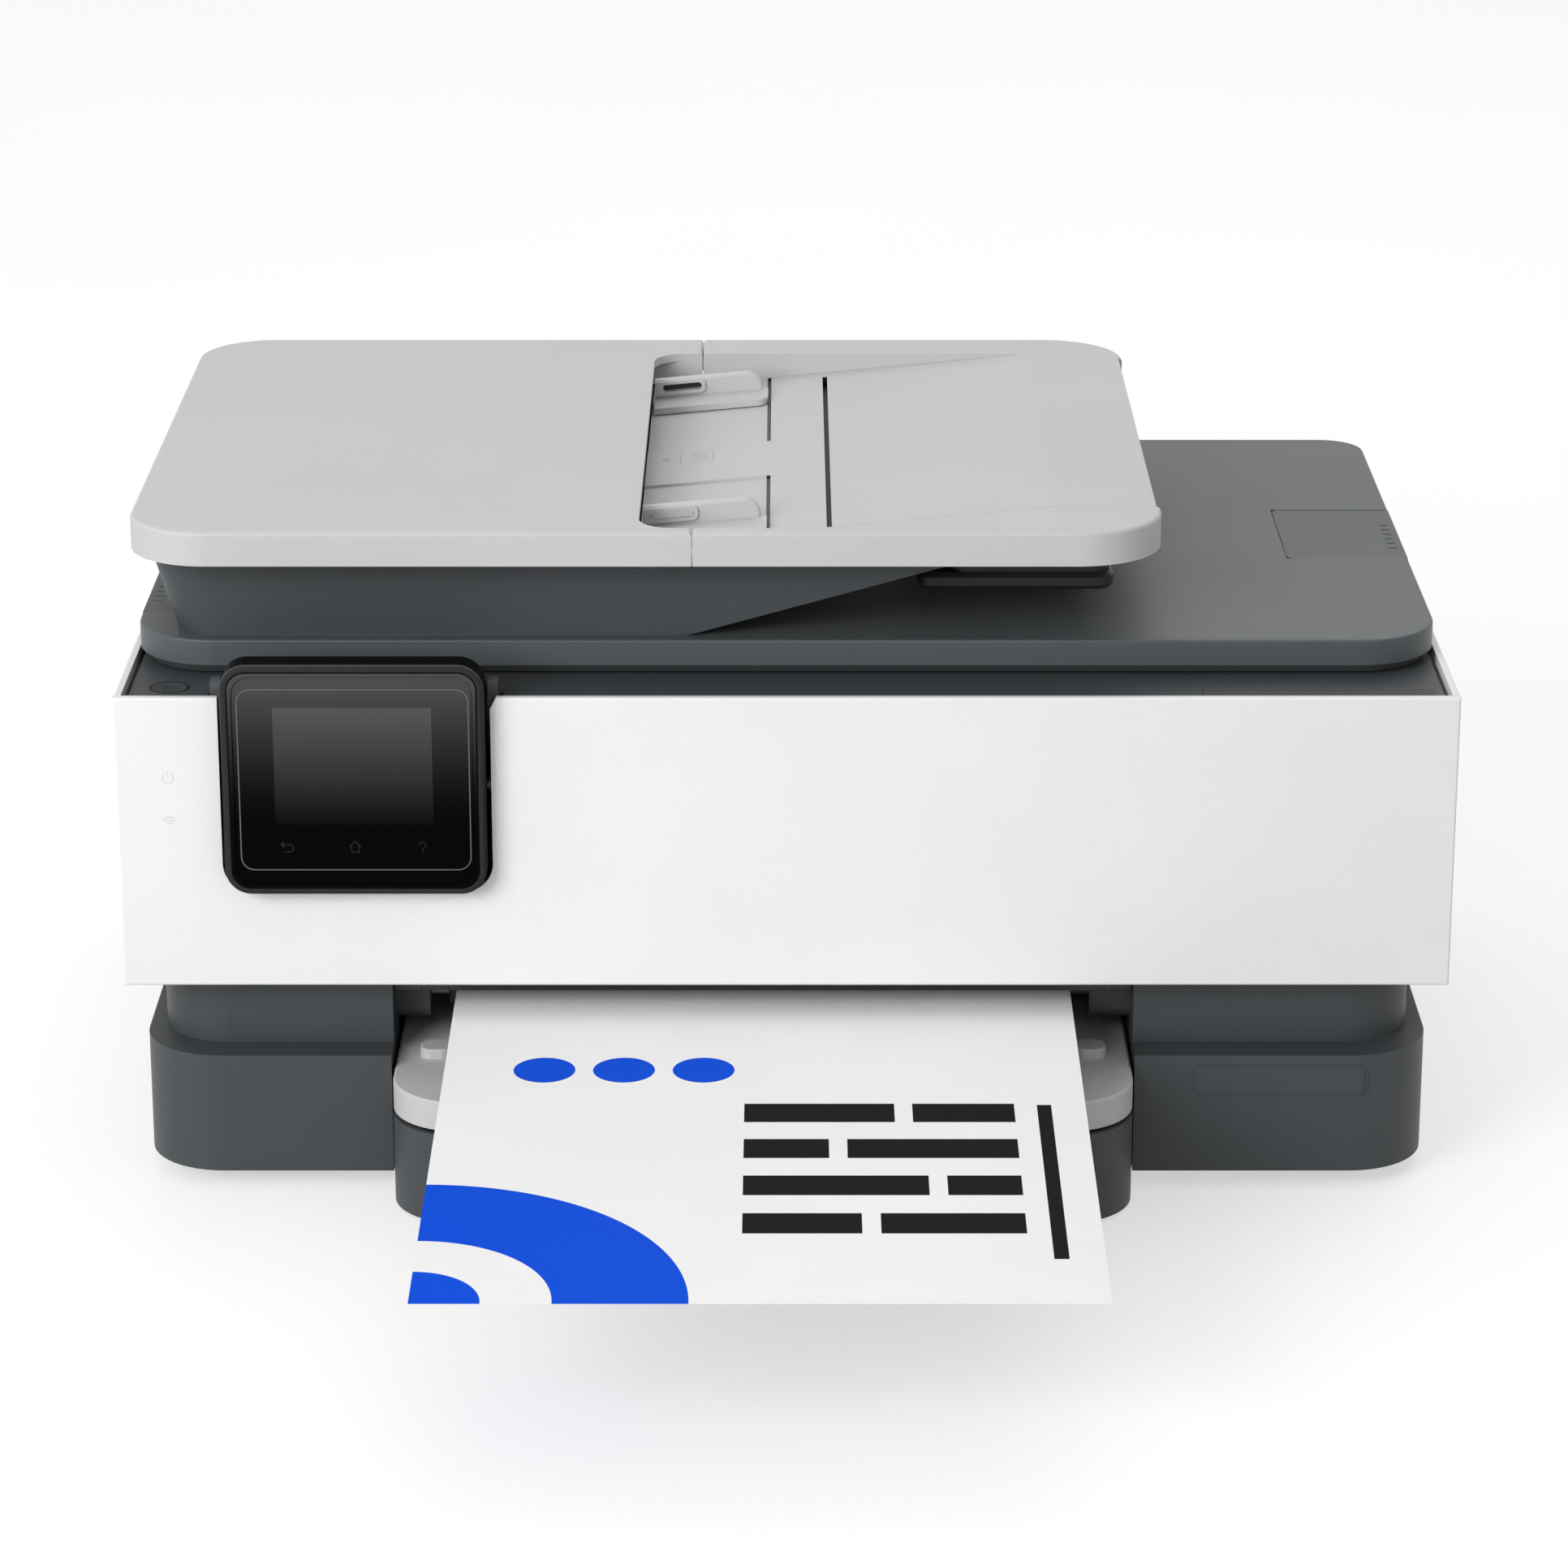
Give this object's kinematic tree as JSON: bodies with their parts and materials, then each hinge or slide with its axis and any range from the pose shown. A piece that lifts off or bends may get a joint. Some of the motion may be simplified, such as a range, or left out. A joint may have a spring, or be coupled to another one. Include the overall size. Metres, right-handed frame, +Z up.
{
  "type": "all-in-one inkjet printer",
  "caption": "Desktop inkjet printer and scanner with a document feeder on its lid, a tilting touch panel, a drop-down front door, a paper drawer and a page being delivered.",
  "frame": {"origin": "on the desk under the middle of the whole object, delivered page included", "axes": "+X to the right as seen from the front, +Y to the back, +Z up"},
  "size_m": [0.46, 0.53, 0.2335],
  "materials": {
    "dark_plastic": "finely grained moulded plastic",
    "white_plastic": "smooth satin moulded plastic",
    "pale_plastic": "finely grained moulded plastic",
    "black_gloss": "polished",
    "panel_glass": "smoked touch glass",
    "display": "dark display cell",
    "clear_glass": "float glass",
    "pad_white": "white backing on foam",
    "steel": "plain drawn or stamped steel",
    "motor_steel": "zinc plated can",
    "rubber": "matt",
    "gear_plastic": "natural acetal",
    "inner_plastic": "moulded engineering plastic",
    "board_green": "solder mask",
    "ink_black": "moulded tank",
    "ink_cyan": "moulded tank with a cyan label",
    "ink_magenta": "moulded tank with a magenta label",
    "ink_yellow": "moulded tank with a yellow label",
    "paper": "plain office paper with a printed design"
  },
  "bodies": {
    "printer": {"base_casing": "dark_plastic", "rubber_feet": "rubber", "side_cover_left": "white_plastic", "side_cover_right": "white_plastic", "rear_cover": "dark_plastic", "top_deck": "dark_plastic", "hinge_pins": "steel", "scanner_glass": "clear_glass", "scanner_tub": "inner_plastic", "scan_rail": "steel", "side_plates": "steel", "carriage_rod": "steel", "platen": "inner_plastic", "feed_motor": "motor_steel", "pick_arm": "inner_plastic", "service_station": "inner_plastic", "carriage_belt": "rubber", "carriage_motor": "motor_steel", "main_board": "board_green", "power_supply": "inner_plastic", "port_sockets": "steel"},
    "front_door": {"front_door": "white_plastic"},
    "control_panel": {"panel_housing": "black_gloss", "touch_glass": "panel_glass", "display_module": "display"},
    "power_button": {"power_button": "black_gloss"},
    "carriage": {"print_carriage": "inner_plastic", "printhead": "inner_plastic", "ink_cartridge_black": "ink_black", "ink_cartridge_cyan": "ink_cyan", "ink_cartridge_magenta": "ink_magenta", "ink_cartridge_yellow": "ink_yellow"},
    "motor_pulley": {"motor_pulley": "gear_plastic"},
    "idler_pulley": {"idler_pulley": "gear_plastic"},
    "feed_roller": {"feed_roller": "rubber", "feed_gear": "gear_plastic"},
    "exit_roller": {"exit_roller": "rubber", "exit_gear": "gear_plastic"},
    "idler_gear": {"idler_gear": "gear_plastic"},
    "motor_pinion": {"motor_pinion": "gear_plastic"},
    "pick_roller": {"pick_roller": "rubber"},
    "input_tray": {"input_tray": "dark_plastic", "output_tray": "pale_plastic", "page_stops": "pale_plastic"},
    "paper_guide_left": {"paper_guide_left": "inner_plastic"},
    "paper_guide_right": {"paper_guide_right": "inner_plastic"},
    "output_extender": {"output_extender": "pale_plastic"},
    "printed_sheet": {"printed_sheet": "paper"},
    "scan_bar": {"scan_bar": "inner_plastic"},
    "scanner_lid": {"lid_shell": "dark_plastic", "lid_grips": "dark_plastic", "pressure_pad": "pad_white", "feeder_base": "dark_plastic", "document_tray": "pale_plastic", "tray_underside": "dark_plastic"},
    "feeder_cover": {"feeder_cover": "pale_plastic"},
    "feeder_roller": {"feeder_roller": "rubber"},
    "document_flap": {"document_flap": "pale_plastic"},
    "document_guide_rear": {"document_guide_rear": "pale_plastic"},
    "document_guide_front": {"document_guide_front": "pale_plastic"}
  },
  "joints": [
    {"name": "lid_hinge", "type": "hinge", "parent": "printer", "child": "scanner_lid", "pos_m": [0, 0.256, 0.186], "axis": [-1, 0, 0], "range_deg": [0, 70]},
    {"name": "feeder_cover_hinge", "type": "hinge", "parent": "scanner_lid", "child": "feeder_cover", "pos_m": [-0.2245, 0.121, 0.2235], "axis": [0, -1, 0], "range_deg": [0, 75]},
    {"name": "document_flap_hinge", "type": "hinge", "parent": "scanner_lid", "child": "document_flap", "pos_m": [0.124, 0.122, 0.2306], "axis": [0, 1, 0], "range_deg": [0, 165]},
    {"name": "document_guide_rear_slide", "type": "slide", "parent": "scanner_lid", "child": "document_guide_rear", "axis": [0, 1, 0], "range_m": [-0.054, 0.0197]},
    {"name": "document_guide_front_slide", "type": "slide", "parent": "scanner_lid", "child": "document_guide_front", "axis": [0, 1, 0], "range_m": [-0.0197, 0.054]},
    {"name": "feeder_roller_spin", "type": "hinge", "parent": "scanner_lid", "child": "feeder_roller", "pos_m": [-0.072, 0.121, 0.216], "axis": [0, 1, 0], "continuous": true},
    {"name": "front_door_hinge", "type": "hinge", "parent": "printer", "child": "front_door", "pos_m": [0, -0.031, 0.08], "axis": [1, 0, 0], "range_deg": [0, 90]},
    {"name": "panel_tilt", "type": "hinge", "parent": "printer", "child": "control_panel", "pos_m": [-0.14775, -0.032, 0.183], "axis": [-1, 0, 0], "range_deg": [0, 40]},
    {"name": "power_press", "type": "slide", "parent": "printer", "child": "power_button", "axis": [0, 0, -1], "range_m": [0, 0.0012], "stiffness_N_per_m": 500},
    {"name": "carriage_slide", "type": "slide", "parent": "printer", "child": "carriage", "axis": [1, 0, 0], "range_m": [-0.245, 0]},
    {"name": "motor_pulley_spin", "type": "hinge", "parent": "printer", "child": "motor_pulley", "pos_m": [-0.188, 0.114, 0.12], "axis": [0, 1, 0], "continuous": true},
    {"name": "idler_pulley_spin", "type": "hinge", "parent": "printer", "child": "idler_pulley", "pos_m": [0.188, 0.114, 0.12], "axis": [0, 1, 0], "continuous": true},
    {"name": "feed_spin", "type": "hinge", "parent": "printer", "child": "feed_roller", "pos_m": [0, 0.089, 0.0594], "axis": [1, 0, 0], "continuous": true},
    {"name": "exit_spin", "type": "hinge", "parent": "printer", "child": "exit_roller", "pos_m": [0, 0.005, 0.0594], "axis": [1, 0, 0], "continuous": true},
    {"name": "idler_gear_spin", "type": "hinge", "parent": "printer", "child": "idler_gear", "pos_m": [-0.153, 0.047, 0.0594], "axis": [1, 0, 0], "continuous": true},
    {"name": "motor_pinion_spin", "type": "hinge", "parent": "printer", "child": "motor_pinion", "pos_m": [-0.153, 0.0645, 0.08971], "axis": [1, 0, 0], "continuous": true},
    {"name": "pick_spin", "type": "hinge", "parent": "printer", "child": "pick_roller", "pos_m": [-0.007, 0.186, 0.043], "axis": [1, 0, 0], "continuous": true},
    {"name": "input_tray_slide", "type": "slide", "parent": "printer", "child": "input_tray", "axis": [0, -1, 0], "range_m": [0, 0.2]},
    {"name": "paper_guide_left_slide", "type": "slide", "parent": "input_tray", "child": "paper_guide_left", "axis": [1, 0, 0], "range_m": [0, 0.04]},
    {"name": "paper_guide_right_slide", "type": "slide", "parent": "input_tray", "child": "paper_guide_right", "axis": [1, 0, 0], "range_m": [-0.04, 0]},
    {"name": "output_extender_slide", "type": "slide", "parent": "input_tray", "child": "output_extender", "axis": [0, -1, 0], "range_m": [0, 0.11]},
    {"name": "sheet_slide", "type": "slide", "parent": "printer", "child": "printed_sheet", "axis": [0, -0.9996, -0.0286], "range_m": [0, 0.06]},
    {"name": "scan_bar_slide", "type": "slide", "parent": "printer", "child": "scan_bar", "axis": [1, 0, 0], "range_m": [0, 0.325]}
  ],
  "couplings": [
    {"joint": "document_guide_front_slide", "follows": "document_guide_rear_slide", "ratio": -1},
    {"joint": "paper_guide_right_slide", "follows": "paper_guide_left_slide", "ratio": -1},
    {"joint": "motor_pulley_spin", "follows": "carriage_slide", "rad_per_m": 156.25},
    {"joint": "idler_pulley_spin", "follows": "carriage_slide", "rad_per_m": 156.25},
    {"joint": "exit_spin", "follows": "feed_spin", "ratio": 1},
    {"joint": "idler_gear_spin", "follows": "feed_spin", "ratio": -0.5},
    {"joint": "motor_pinion_spin", "follows": "feed_spin", "ratio": 2},
    {"joint": "pick_spin", "follows": "feed_spin", "ratio": 1}
  ]
}
